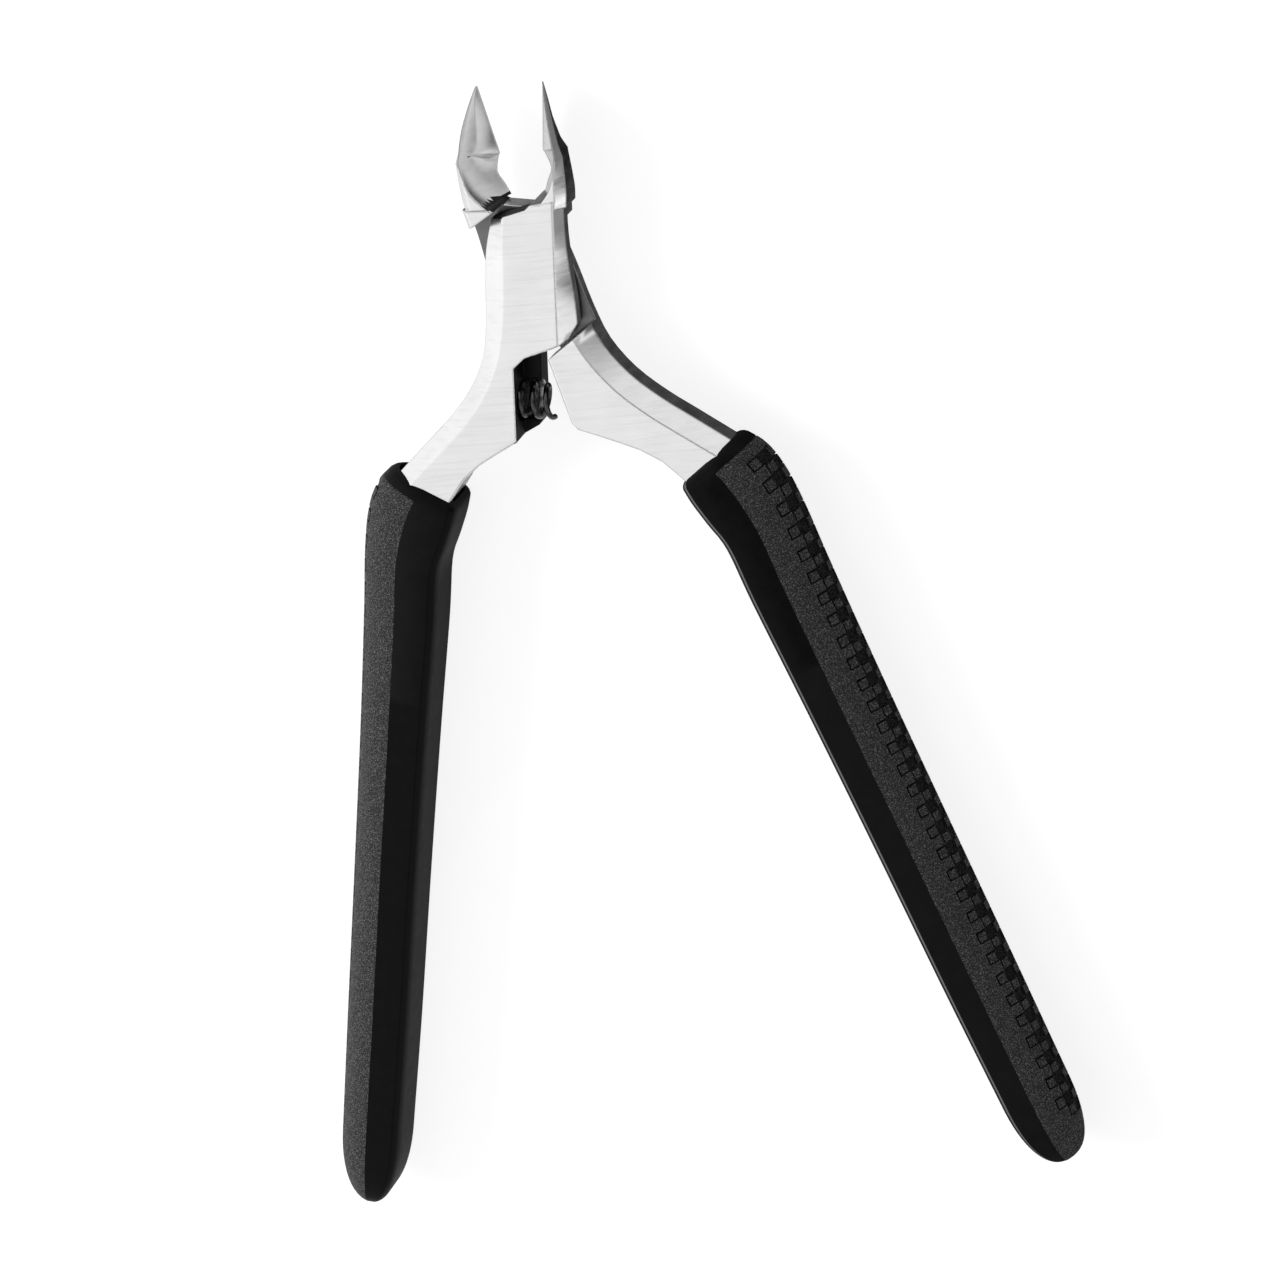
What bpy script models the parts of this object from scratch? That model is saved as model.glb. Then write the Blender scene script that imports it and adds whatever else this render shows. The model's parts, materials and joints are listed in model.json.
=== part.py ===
"""Cuticle nipper with a lap joint, a coil spring between the arms and rubber-cased handles.

The tool lies flat on its grips, jaws towards +Y, front face up (+Z), and is modelled fully open.
Each lever is drawn in its own closed position, about the pivot, in millimetres: u runs from the tool's
centre line outwards and y towards the jaws. The rear lever has the right arm and the left jaw, and the
front lever has the left arm and the right jaw. An empty on the pivot axis turns each lever open.
"""

import math

import bmesh
import bpy

MM = 0.001

# Pose and place
HALF_OPENING = math.radians(9.3)
PIVOT_Y = 39.431
JAW_LEAN = math.radians(2.3)

# Steel levers
THICKNESS = 5.6
FACE = THICKNESS / 2
LAP_GAP = 0.3
EDGE_BREAK = 0.12
PLATE_CHAMFER_DROP = 1.3
ARM_CHAMFER_DROP = 1.6
ARM_SHOULDER_ANGLE = math.radians(-67.8)
ARM_SHOULDER = 6.6
JAW_SHOULDER_ANGLE = math.radians(108.9)
JAW_SHOULDER = 8.55
STOP_GAP = 0.3
NOSE_OVERRUN = 0.3
CUT_BEYOND = 1.0
CROTCH_U = -0.15

# Spring pocket between the arms
POCKET_FLOOR = 0.35
POCKET_WALL_FRONT = 1.65
POCKET_WALL_REAR = 0.8
POCKET_CORNER_SHARE = 0.6
POCKET_REACH = 3.0
POCKET_FOOT = -24.0
SHAVE = 0.04
SPRING_Y = -12.35
SPRING_BORE_RADIUS = 2.2
SPRING_BORE_DEPTH = 2.25
SPRING_BORE_LENGTH = 8.0

# Return spring
SPRING_RADIUS = 1.62
SPRING_WIRE = 0.29
SPRING_TURNS = 4.0
SPRING_START = -3.3
SPRING_LENGTH = 5.0
SPRING_DEAD_SHARE = 0.14
SPRING_PHASE = math.pi
POINTS_PER_TURN = 14

# Pivot screw
SHANK_RADIUS = 1.9
BORE_CLEARANCE = 0.1
HEAD_RADIUS = 3.1
HEAD_CLEARANCE = 0.3
HEAD_UNDERSIDE = 1.6
HEAD_TOP = 2.7
HEAD_BEVEL = 0.25
SHANK_TOP = 1.85
BLIND_BORE_TOP = 2.05
SLOT_WIDTH = 0.7
SLOT_DEPTH = 0.45
SLOT_ANGLE = math.radians(35)
ROUND_SEGMENTS = 40
BORE_SEGMENTS = 32

# Grips
GRIP_HALF_THICKNESS = 3.6
RIDGE_SHARE = 0.5
OVERLAY_THICKNESS = 0.8
OVERLAY_GAP = 0.3
STEP_CLEARANCE = 0.02
# Where the overlay and the step under it begin, as shares of the way between the second and third rows
OVERLAY_START = 0.27
STEP_TOP = 0.11
STEP_BOTTOM = 0.115
INNER_CHAMFER = 0.75
INNER_ROUND = 1.4
TANG_SHIFT = -0.5
TANG_HALF_WIDTH = 1.6
TANG_HALF_THICKNESS = 1.2
TANG_GAP = 0.3

# Outer edge of an arm from the lap plate down into the grip: u and y at the side wall, u and y where
# the chamfer meets the flat face, and how far the chamfer drops
ARM_SIDE = (
    (3.75, 7.35, 2.25, 7.75, PLATE_CHAMFER_DROP),
    (4.45, 4.0, 2.4, 4.0, PLATE_CHAMFER_DROP),
    (4.7, 0.5, 2.45, 0.5, PLATE_CHAMFER_DROP),
    (4.85, -3.8, 2.75, -4.0, 1.4),
    (5.35, -7.6, 3.6, -8.1, 1.5),
    (6.9, -11.2, 5.4, -12.05, ARM_CHAMFER_DROP),
    (9.2, -14.4, 7.85, -15.45, ARM_CHAMFER_DROP),
    (11.7, -17.2, 10.45, -18.35, ARM_CHAMFER_DROP),
    (15.3, -21.2, 14.1, -22.3, ARM_CHAMFER_DROP),
)
# Where the plate's top edge leaves the arm's chamfer
PLATE_TOP_CORNER = (2.25, 7.9)
# Edge of the lap plate below the jaw, from the jaw's root down to the stop corner, in the same columns
JAW_SIDE = (
    (-3.9, 9.8, -3.1, 9.8, PLATE_CHAMFER_DROP),
    (-3.9, 7.0, -3.1, 7.0, PLATE_CHAMFER_DROP),
    (-4.05, 4.6, -3.1, 4.6, PLATE_CHAMFER_DROP),
    (-4.35, 1.8, -3.1, 1.8, PLATE_CHAMFER_DROP),
    (-4.75, -1.0, -3.1, -1.0, PLATE_CHAMFER_DROP),
    (-4.9, -3.3, -3.1, -4.8, PLATE_CHAMFER_DROP),
)
STOP_ARC_STEPS = 4
# Inner edge of an arm, from the nose that covers the spring to the grip
ARM_INNER = (
    (-0.3, -14.3),
    (0.1, -15.1),
    (1.9, -16.25),
    (3.7, -17.45),
    (5.7, -18.85),
    (7.5, -20.6),
    (9.65, -24.0),
)
# Jaw stations: y, inner u, edge z, rim u, rim z, outer u, lower outer u, back u, the share of the hollow
# face that the cutting bevel takes, and how flat that bevel is ground
JAW_STATIONS = (
    (9.1, 0.30, -2.80, 1.10, 2.70, 3.85, 3.85, 2.60, 0.50, 0.0),
    (10.4, 0.60, -2.80, 2.00, 2.75, 3.88, 3.80, 2.50, 0.50, 0.0),
    (11.7, 0.95, -2.80, 2.60, 2.70, 3.75, 3.55, 2.35, 0.50, 0.0),
    (13.2, 0.32, -2.75, 2.75, 2.55, 3.45, 3.10, 2.00, 0.50, 0.0),
    (13.6, 0.08, -2.75, 2.75, 2.50, 3.35, 3.00, 1.90, 0.50, 1.0),
    (15.5, 0.08, -2.70, 2.40, 2.10, 2.80, 2.30, 1.30, 0.40, 1.0),
    (17.5, 0.08, -2.65, 1.70, 1.20, 2.00, 1.50, 0.80, 0.36, 1.0),
    (19.3, 0.08, -2.60, 0.90, -0.40, 1.15, 0.85, 0.45, 0.45, 1.0),
    (20.8, 0.08, -2.55, 0.18, -2.20, 0.26, 0.22, 0.16, 0.60, 1.0),
)
JAW_HOLLOW = 0.55
HEEL_Y = 13.4
HEEL_SLANT = 1.0
HEEL_REACH = 2.0
JAW_CHAMFER_DROP = 1.1
# Grip stations: inner u, inner y, outer u, outer y, half thickness
GRIP_STATIONS = (
    (8.3, -23.5, 15.7, -20.1, 3.35),
    (8.8, -25.6, 17.6, -22.2, 3.5),
    (9.7, -28.2, 18.7, -25.2, 3.6),
    (10.7, -31.2, 19.3, -29.6, 3.6),
    (11.3, -37.5, 19.75, -36.5, 3.6),
    (12.8, -50.0, 20.75, -49.2, 3.6),
    (14.6, -66.0, 22.2, -65.2, 3.6),
    (16.4, -83.0, 23.8, -82.3, 3.55),
    (17.9, -96.0, 25.0, -95.5, 3.5),
)
# The socket in the grip's rim that takes the end of the arm
RIM_SOCKET = ((7.9, -22.1), (9.4, -24.6), (15.9, -21.35), (13.2, -18.4))
# The tang's root in the arm, as a grip station
TANG_ROOT = (8.2, -21.6, 14.2, -17.9)
GRIP_END_LENGTH = 8.7
END_ROUNDNESS = 2.3
END_THICKNESS = 0.25
GRIP_END_STEPS = (0.35, 0.62, 0.82, 0.94, 0.995)
OUTER_SEGMENTS = 12
INNER_SEGMENTS = 8
RIDGE_LEAD = 1.6

STEEL = (0.72, 0.72, 0.73, 1.0)
DARK_STEEL = (0.20, 0.19, 0.18, 1.0)
SMOOTH_BLACK = (0.012, 0.012, 0.013, 1.0)
GRAINED_BLACK = (0.022, 0.022, 0.023, 1.0)


def clear_scene():
    for obj in list(bpy.data.objects):
        bpy.data.objects.remove(obj)


def make_collection(name):
    found = bpy.data.collections.new(name)
    bpy.context.scene.collection.children.link(found)
    return found


def make_material(name, color, roughness, metallic):
    material = bpy.data.materials.new(name)
    material.use_nodes = True
    shader = material.node_tree.nodes["Principled BSDF"]
    shader.inputs["Base Color"].default_value = color
    shader.inputs["Roughness"].default_value = roughness
    shader.inputs["Metallic"].default_value = metallic
    return material


def catmull_rom(p, q, r, s, t):
    """The value a share t of the way from q to r, on the curve through all four."""
    slope = (r - p) * t
    bend = (2 * p - 5 * q + 4 * r - s) * t**2
    twist = (3 * q - p - 3 * r + s) * t**3
    return q + 0.5 * (slope + bend + twist)


def smooth_curve(points, steps):
    """Rows on a smooth curve through the rows given, which may hold any number of columns."""
    rows = [points[0], *points, points[-1]]
    out = []
    for four in zip(rows, rows[1:], rows[2:], rows[3:]):
        for k in range(steps):
            out.append(tuple(catmull_rom(*column, k / steps) for column in zip(*four)))
    out.append(tuple(points[-1]))
    return out


def mesh_object(name, verts, faces, collection):
    """A closed mesh from vertices in millimetres, with its faces turned outwards."""
    mesh = bpy.data.meshes.new(name)
    mesh.from_pydata([tuple(v * MM for v in vert) for vert in verts], [], faces)
    work = bmesh.new()
    work.from_mesh(mesh)
    bmesh.ops.recalc_face_normals(work, faces=work.faces)
    work.to_mesh(mesh)
    work.free()
    obj = bpy.data.objects.new(name, mesh)
    collection.objects.link(obj)
    return obj


def loft(name, rings, collection):
    """A solid through rings of equally many points, with a flat face on each end."""
    count = len(rings[0])
    verts = [point for ring in rings for point in ring]
    faces = [tuple(range(count)), tuple(range((len(rings) - 1) * count, len(rings) * count))]
    for ring in range(len(rings) - 1):
        for k in range(count):
            after = (k + 1) % count
            base = ring * count
            faces.append((base + k, base + after, base + count + after, base + count + k))
    return mesh_object(name, verts, faces, collection)


def prism(name, outline, span, collection):
    """A flat outline given a thickness between two heights: a filled 2D curve, made a mesh for Booleans."""
    low, high = sorted(span)
    curve = bpy.data.curves.new(name, "CURVE")
    curve.dimensions = "2D"
    curve.fill_mode = "BOTH"
    curve.extrude = (high - low) / 2 * MM
    spline = curve.splines.new("POLY")
    spline.points.add(len(outline) - 1)
    for point, (x, y) in zip(spline.points, outline):
        point.co = (x * MM, y * MM, 0.0, 1.0)
    spline.use_cyclic_u = True
    guide = bpy.data.objects.new(name + "_outline", curve)
    guide.location.z = (high + low) / 2 * MM
    bpy.context.scene.collection.objects.link(guide)
    bpy.context.view_layer.update()
    graph = bpy.context.evaluated_depsgraph_get()
    mesh = bpy.data.meshes.new_from_object(guide.evaluated_get(graph))
    work = bmesh.new()
    work.from_mesh(mesh)
    bmesh.ops.remove_doubles(work, verts=work.verts, dist=1e-6)
    bmesh.ops.recalc_face_normals(work, faces=work.faces)
    work.to_mesh(mesh)
    work.free()
    obj = bpy.data.objects.new(name, mesh)
    obj.matrix_world = guide.matrix_world
    collection.objects.link(obj)
    bpy.data.objects.remove(guide)
    return obj


def cylinder(name, radius, span, collection, segments=ROUND_SEGMENTS):
    """A cylinder along Z between two heights, centred on the pivot axis."""
    low, high = span
    mesh = bpy.data.meshes.new(name)
    work = bmesh.new()
    bmesh.ops.create_cone(
        work,
        cap_ends=True,
        segments=segments,
        radius1=radius * MM,
        radius2=radius * MM,
        depth=(high - low) * MM,
    )
    bmesh.ops.translate(work, verts=work.verts, vec=(0, 0, (high + low) / 2 * MM))
    work.to_mesh(mesh)
    work.free()
    obj = bpy.data.objects.new(name, mesh)
    collection.objects.link(obj)
    return obj


def hide_helper(obj):
    obj.hide_render = True
    obj.display_type = "WIRE"


def combine(obj, other, operation):
    modifier = obj.modifiers.new(other.name, "BOOLEAN")
    modifier.operation = operation
    modifier.solver = "EXACT"
    modifier.object = other
    hide_helper(other)


def finish_object(obj, material, parent, smooth_angle=30):
    obj.data.materials.append(material)
    obj.data.shade_smooth()
    obj.data.set_sharp_from_angle(angle=math.radians(smooth_angle))
    obj.parent = parent


def offset_corner(before, at, after, inset):
    """The corner of a counter-clockwise outline after both its edges move inwards."""
    d1 = (at[0] - before[0], at[1] - before[1])
    d2 = (after[0] - at[0], after[1] - at[1])
    l1, l2 = math.hypot(*d1), math.hypot(*d2)
    mean = (-d1[1] / l1 - d2[1] / l2, d1[0] / l1 + d2[0] / l2)
    scale = 2 * inset / (mean[0] ** 2 + mean[1] ** 2)
    return at[0] + mean[0] * scale, at[1] + mean[1] * scale


def chamfered_plate(name, rows, collection):
    """A plate of full thickness from rows of (wall x, wall y, flat x, flat y, chamfer drop)."""
    rings = [
        [(row[2], row[3], -FACE) for row in rows],
        [(row[0], row[1], row[4] - FACE) for row in rows],
        [(row[0], row[1], FACE - row[4]) for row in rows],
        [(row[2], row[3], FACE) for row in rows],
    ]
    return loft(name, rings, collection)


def line_point(angle, distance, along):
    """A point on the line with this normal angle and distance from the pivot."""
    c, s = math.cos(angle), math.sin(angle)
    return distance * c - along * s, distance * s + along * c


def stop_arc():
    """Rows round the plate's lower corner: it turns under the other arm's shoulder as the tool opens."""
    stop = ARM_SHOULDER - STOP_GAP
    closed_normal = -math.pi - ARM_SHOULDER_ANGLE
    corner = JAW_SIDE[-1]
    flat_y = -math.sqrt(stop**2 - corner[2] ** 2)
    rows = []
    for k in range(STOP_ARC_STEPS + 1):
        angle = closed_normal - 2 * HALF_OPENING * (1 - k / STOP_ARC_STEPS)
        u, y = stop * math.cos(angle), stop * math.sin(angle)
        share = (u - corner[2]) / (corner[0] - corner[2])
        if share > 0:
            drop = max(EDGE_BREAK, corner[4] * share)
            rows.append((u, y, corner[2], flat_y + (corner[3] - flat_y) * share + EDGE_BREAK, drop))
        else:
            rows.append((u, y))
    return rows


def lever_outline():
    """The rear lever's outline, arm at +u, counter-clockwise, in its closed position."""
    nose_normal = -math.pi - ARM_SHOULDER_ANGLE
    stop = ARM_SHOULDER - STOP_GAP
    nose_along = (stop * math.cos(nose_normal) + NOSE_OVERRUN) / math.sin(nose_normal)
    slope = math.cos(JAW_SHOULDER_ANGLE) / math.sin(JAW_SHOULDER_ANGLE)
    crotch_y = (JAW_SHOULDER - STOP_GAP) / math.sin(JAW_SHOULDER_ANGLE) + CROTCH_U * slope
    rows = [*smooth_curve(JAW_SIDE, 2), *stop_arc(), line_point(nose_normal, stop, nose_along), *ARM_INNER]
    rows += smooth_curve(ARM_SIDE[::-1], 3)
    rows += [PLATE_TOP_CORNER, (CROTCH_U, crotch_y), (CROTCH_U - 0.5, crotch_y + 0.5)]
    outline = []
    for k, row in enumerate(rows):
        if len(row) == 2:
            flat = offset_corner(rows[k - 1], row, rows[(k + 1) % len(rows)], EDGE_BREAK)
            row = (*row, *flat, EDGE_BREAK)
        outline.append(row)
    return outline


def mirrored(rows, side):
    """The rows for this lever, still counter-clockwise: side is 1 for the rear lever, -1 for the front."""
    if side > 0:
        return rows
    return [(-u, y, -flat_u, flat_y, drop) for u, y, flat_u, flat_y, drop in rows[::-1]]


def jaw_section(u_in, z_edge, u_rim, z_rim, u_out, u_low, u_back, share, flatness):
    """One cross-section of a jaw as (u, z, share across the hollow face), from the edge round to the back."""
    inner, rim = (u_in, z_edge), (u_rim, z_rim)
    length = math.dist(inner, rim)
    normal = ((rim[1] - inner[1]) / length, -(rim[0] - inner[0]) / length)
    hollow = 4 * JAW_HOLLOW * min(1.0, length / 5)
    section = []
    for s in (0.0, share / 2, share, *[share + (1 - share) * k / 4 for k in range(1, 5)]):
        depth = hollow * s * (1 - s)
        if s < share:
            depth += flatness * (hollow * (1 - share) * s - depth)
        section.append(
            (
                inner[0] + (rim[0] - inner[0]) * s + normal[0] * depth,
                inner[1] + (rim[1] - inner[1]) * s + normal[1] * depth,
                s / share if s < share else 1.0,
            )
        )
    height = z_rim - z_edge
    drop = JAW_CHAMFER_DROP * min(1.0, height / 4)
    section.append((max(u_rim + 0.1 * min(1.0, height), u_out - 0.9), z_rim, 1.0))
    section.append((u_out, z_rim - drop, 1.0))
    section.append((u_low, z_edge + drop, 1.0))
    section.append((u_back, z_edge, 0.0))
    return section


def jaw_rings(side):
    """The jaw's cross-sections. It lies across the centre line from the arm, at -u for the rear lever."""
    rings = []
    for y, *sizes in smooth_curve(JAW_STATIONS, 3):
        # Near the heel the sections slant, so the cutting bevel ends on a line that runs down to the edge.
        slant = HEEL_SLANT * max(0.0, 1 - abs(y - HEEL_Y) / HEEL_REACH)
        ring = []
        for u, z, share in jaw_section(*sizes):
            x, along = -side * u, y + slant * share
            ring.append(
                (
                    x * math.cos(JAW_LEAN) + along * math.sin(JAW_LEAN),
                    -x * math.sin(JAW_LEAN) + along * math.cos(JAW_LEAN),
                    z,
                )
            )
        rings.append(ring)
    return rings


def tang_outline(side, grow):
    """The tang inside the grip: it leaves the arm at its root and keeps to the middle of the grip."""
    inner, outer = [], []
    for row in (TANG_ROOT, *GRIP_STATIONS[1:]):
        dx, dy = row[2] - row[0], row[3] - row[1]
        width = math.hypot(dx, dy)
        dx, dy = dx / width, dy / width
        mid = ((row[0] + row[2]) / 2 + TANG_SHIFT * dx, (row[1] + row[3]) / 2 + TANG_SHIFT * dy)
        half = TANG_HALF_WIDTH + grow
        inner.append((side * (mid[0] - half * dx), mid[1] - half * dy))
        outer.append((side * (mid[0] + half * dx), mid[1] + half * dy))
    along = (outer[-1][1] - outer[-2][1]) / math.dist(outer[-1], outer[-2])
    end = [(x, y + along * grow) for x, y in (inner[-1], outer[-1])]
    return inner[:-1] + end + outer[-2::-1]


def lap_recess(side):
    """The strip between a lever's two shoulders, where the other lever's plate turns."""
    reach = 16.0
    low = [line_point(ARM_SHOULDER_ANGLE, ARM_SHOULDER, along) for along in (-reach, reach)]
    high = [line_point(JAW_SHOULDER_ANGLE, JAW_SHOULDER, along) for along in (-reach, reach)]
    return [(side * x, y) for x, y in low + high]


def pocket_outline(side, wall):
    """The spring pocket: open towards the other arm and downwards, with one corner cut off."""

    edge = ARM_SHOULDER - STOP_GAP - SHAVE

    def top(u):
        return (u * math.cos(ARM_SHOULDER_ANGLE) - edge) / -math.sin(ARM_SHOULDER_ANGLE)

    cut = POCKET_CORNER_SHARE * (wall + NOSE_OVERRUN)
    corner = wall - cut
    lip = -NOSE_OVERRUN - 2 * SHAVE
    points = [
        (wall, top(-corner) - cut),
        (corner, top(-corner)),
        (lip, top(-lip)),
        (lip - POCKET_REACH, top(-lip) - POCKET_REACH),
        (lip - POCKET_REACH, POCKET_FOOT),
        (wall, POCKET_FOOT),
    ]
    return [(side * u, y) for u, y in points]


def spring_bore(name, side, start, cutters):
    """A round bore from this far out towards the other arm: the spring's seat and a trough in the floor."""
    bore = cylinder(name, SPRING_BORE_RADIUS, (0, SPRING_BORE_LENGTH), cutters, BORE_SEGMENTS)
    bore.rotation_euler.y = -side * math.pi / 2
    bore.location = (side * start * MM, SPRING_Y * MM, 0)
    return bore


def make_lever(name, side, frame, parts, cutters, material):
    """One lever: the rear lever's lap plate and nose are at the back, the front lever's at the front."""
    lever = chamfered_plate(name, mirrored(lever_outline(), side), parts)
    jaw = loft(name + "_jaw", jaw_rings(side), cutters)
    combine(lever, jaw, "UNION")
    tang_span = (-TANG_HALF_THICKNESS, TANG_HALF_THICKNESS)
    tang = prism(name + "_tang", tang_outline(side, 0.0), tang_span, cutters)
    combine(lever, tang, "UNION")
    beyond = FACE + CUT_BEYOND
    wall = POCKET_WALL_REAR if side > 0 else POCKET_WALL_FRONT
    seat = wall if side > 0 else wall + SPRING_BORE_DEPTH
    # The front lever's bore is blind, so its face is plain over the pivot.
    bore_top = beyond if side > 0 else BLIND_BORE_TOP
    # The rear lever is cut away at the front and pocketed at the back, and the front lever the other way.
    recess_span = (-side * LAP_GAP / 2, side * beyond)
    pocket_span = (-side * beyond, side * POCKET_FLOOR)
    tools = [
        prism(name + "_lap_recess", lap_recess(side), recess_span, cutters),
        prism(name + "_pocket", pocket_outline(side, wall), pocket_span, cutters),
        spring_bore(name + "_spring_bore", side, seat, cutters),
        cylinder(name + "_bore", SHANK_RADIUS + BORE_CLEARANCE, (-beyond, bore_top), cutters),
    ]
    if side > 0:
        span = (-beyond, HEAD_CLEARANCE - HEAD_UNDERSIDE)
        tools.append(cylinder(name + "_counterbore", HEAD_RADIUS + HEAD_CLEARANCE, span, cutters))
    for tool in tools:
        combine(lever, tool, "DIFFERENCE")
    for helper in (jaw, tang, *tools):
        helper.parent = frame
    finish_object(lever, material, frame)


def make_screw(frame, parts, cutters, material):
    """The pivot: slotted head sunk in the back, shank through the rear plate into the front plate."""
    profile = [
        (0.0, SHANK_TOP),
        (SHANK_RADIUS, SHANK_TOP),
        (SHANK_RADIUS, -HEAD_UNDERSIDE),
        (HEAD_RADIUS, -HEAD_UNDERSIDE),
        (HEAD_RADIUS, HEAD_BEVEL - HEAD_TOP),
        (HEAD_RADIUS - HEAD_BEVEL, -HEAD_TOP),
        (0.0, -HEAD_TOP),
    ]
    mesh = bpy.data.meshes.new("pivot_screw")
    edges = [(k, k + 1) for k in range(len(profile) - 1)]
    mesh.from_pydata([(x * MM, 0, z * MM) for x, z in profile], edges, [])
    screw = bpy.data.objects.new("pivot_screw", mesh)
    parts.objects.link(screw)
    turn = screw.modifiers.new("turn", "SCREW")
    turn.steps = ROUND_SEGMENTS
    turn.render_steps = ROUND_SEGMENTS
    turn.use_merge_vertices = True
    turn.merge_threshold = 1e-6
    half, reach = SLOT_WIDTH / 2, HEAD_RADIUS + CUT_BEYOND
    outline = [(-reach, -half), (reach, -half), (reach, half), (-reach, half)]
    slot = prism("pivot_screw_slot", outline, (-HEAD_TOP - CUT_BEYOND, SLOT_DEPTH - HEAD_TOP), cutters)
    slot.rotation_euler.z = SLOT_ANGLE
    slot.parent = frame
    combine(screw, slot, "DIFFERENCE")
    finish_object(screw, material, frame)


def make_spring(frame, parts, material):
    """A compression spring along the front lever's x axis, with a closed coil at each end."""
    curve = bpy.data.curves.new("return_spring", "CURVE")
    curve.dimensions = "3D"
    curve.bevel_depth = SPRING_WIRE * MM
    curve.bevel_resolution = 2
    curve.use_fill_caps = True
    count = int(SPRING_TURNS * POINTS_PER_TURN)
    spline = curve.splines.new("POLY")
    spline.points.add(count)
    for k, point in enumerate(spline.points):
        share = k / count
        eased = max(0.0, share - SPRING_DEAD_SHARE * (1 - share))
        angle = SPRING_PHASE + 2 * math.pi * SPRING_TURNS * share
        x = SPRING_START + SPRING_LENGTH * eased
        point.co = (
            x * MM,
            (SPRING_Y + SPRING_RADIUS * math.cos(angle)) * MM,
            SPRING_RADIUS * math.sin(angle) * MM,
            1.0,
        )
    spring = bpy.data.objects.new("return_spring", curve)
    parts.objects.link(spring)
    curve.materials.append(material)
    spring.parent = frame
    return spring


def grip_rows():
    """Rows of (inner u, inner y, outer u, outer y, half thickness, size) from rim to rounded end."""
    rows = []
    for row in smooth_curve(GRIP_STATIONS, 2):
        rows.append((*row[:4], min(row[4], GRIP_HALF_THICKNESS), 1.0))
    last, before = rows[-1], rows[-3]
    mid = ((last[0] + last[2]) / 2, (last[1] + last[3]) / 2)
    mid_before = ((before[0] + before[2]) / 2, (before[1] + before[3]) / 2)
    length = math.dist(mid, mid_before)
    axis = ((mid[0] - mid_before[0]) / length, (mid[1] - mid_before[1]) / length)
    for share in GRIP_END_STEPS:
        size = (1 - share**END_ROUNDNESS) ** (1 / END_ROUNDNESS)
        shift = (axis[0] * share * GRIP_END_LENGTH, axis[1] * share * GRIP_END_LENGTH)
        ends = []
        for u, y in ((last[0], last[1]), (last[2], last[3])):
            ends.append(mid[0] + (u - mid[0]) * size + shift[0])
            ends.append(mid[1] + (y - mid[1]) * size + shift[1])
        rows.append((*ends, last[4] * (END_THICKNESS + (1 - END_THICKNESS) * size), size))
    return rows


def place_section(row, section, side):
    """A section's points, as distance across from the middle and height, set between the rails of a row."""
    mid = ((row[0] + row[2]) / 2, (row[1] + row[3]) / 2)
    width = math.dist(row[0:2], row[2:4])
    dx, dy = (row[2] - row[0]) / width, (row[3] - row[1]) / width
    return [(side * (mid[0] + a * dx), mid[1] + a * dy, z) for a, z in section]


def outer_arc(half, thick, ridge, shrink, segments):
    """The rounded outer side from the front ridge round to the back one, moved inwards by shrink."""
    centre = ridge - RIDGE_LEAD * min(1.0, half / 4)
    reach = half - centre
    rise = thick / math.sqrt(1 - ((ridge - centre) / reach) ** 2)
    start = math.acos((ridge - centre) / reach)
    points = []
    for k in range(segments + 1):
        angle = start * (1 - 2 * k / segments)
        points.append((centre + (reach - shrink) * math.cos(angle), (rise - shrink) * math.sin(angle)))
    return points


def shell_section(row, stepped):
    """The smooth shell: flat faces and an inner side, with a step under the overlay where stepped is 1."""
    half = math.dist(row[0:2], row[2:4]) / 2
    thick, size = row[4], row[5]
    ridge = half * (2 * RIDGE_SHARE - 1)
    gap = OVERLAY_GAP / 2 * size
    depth = (OVERLAY_THICKNESS + OVERLAY_GAP) * size * stepped
    chamfer, rounding = INNER_CHAMFER * size, INNER_ROUND * size
    top = [
        (ridge - gap, thick),
        (-half + chamfer, thick),
        (-half + 0.2 * chamfer, thick - 0.8 * chamfer),
        (-half, thick - rounding),
    ]
    bottom = [(a, -z) for a, z in top[::-1]]
    arc = outer_arc(half, thick, ridge, depth, INNER_SEGMENTS)
    # Without a step the arc starts on the ridge itself, so its ends keep clear of the flat's corner.
    arc = arc[::-1]
    if stepped:
        middle = [(max(a, ridge - gap + STEP_CLEARANCE), z) for a, z in arc[1:-1]]
        arc = [(ridge - gap, arc[0][1]), *middle, (ridge - gap, arc[-1][1])]
    return top + bottom + arc


def overlay_section(row):
    """The grained overlay: a C-shaped skin over the outer side."""
    half = math.dist(row[0:2], row[2:4]) / 2
    thick, size = row[4], row[5]
    ridge = half * (2 * RIDGE_SHARE - 1)
    gap = OVERLAY_GAP / 2 * size
    outer = [(a + gap, z) for a, z in outer_arc(half - gap, thick, ridge - gap, 0.0, OUTER_SEGMENTS)]
    inner = outer_arc(half, thick, ridge, OVERLAY_THICKNESS * size, INNER_SEGMENTS)
    inner = [(max(a, ridge + gap), z) for a, z in inner]
    inner[0] = (ridge + gap, inner[0][1])
    inner[-1] = (ridge + gap, inner[-1][1])
    return outer + inner[::-1]


def between(first, second, share):
    return tuple(a + (b - a) * share for a, b in zip(first, second))


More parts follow.
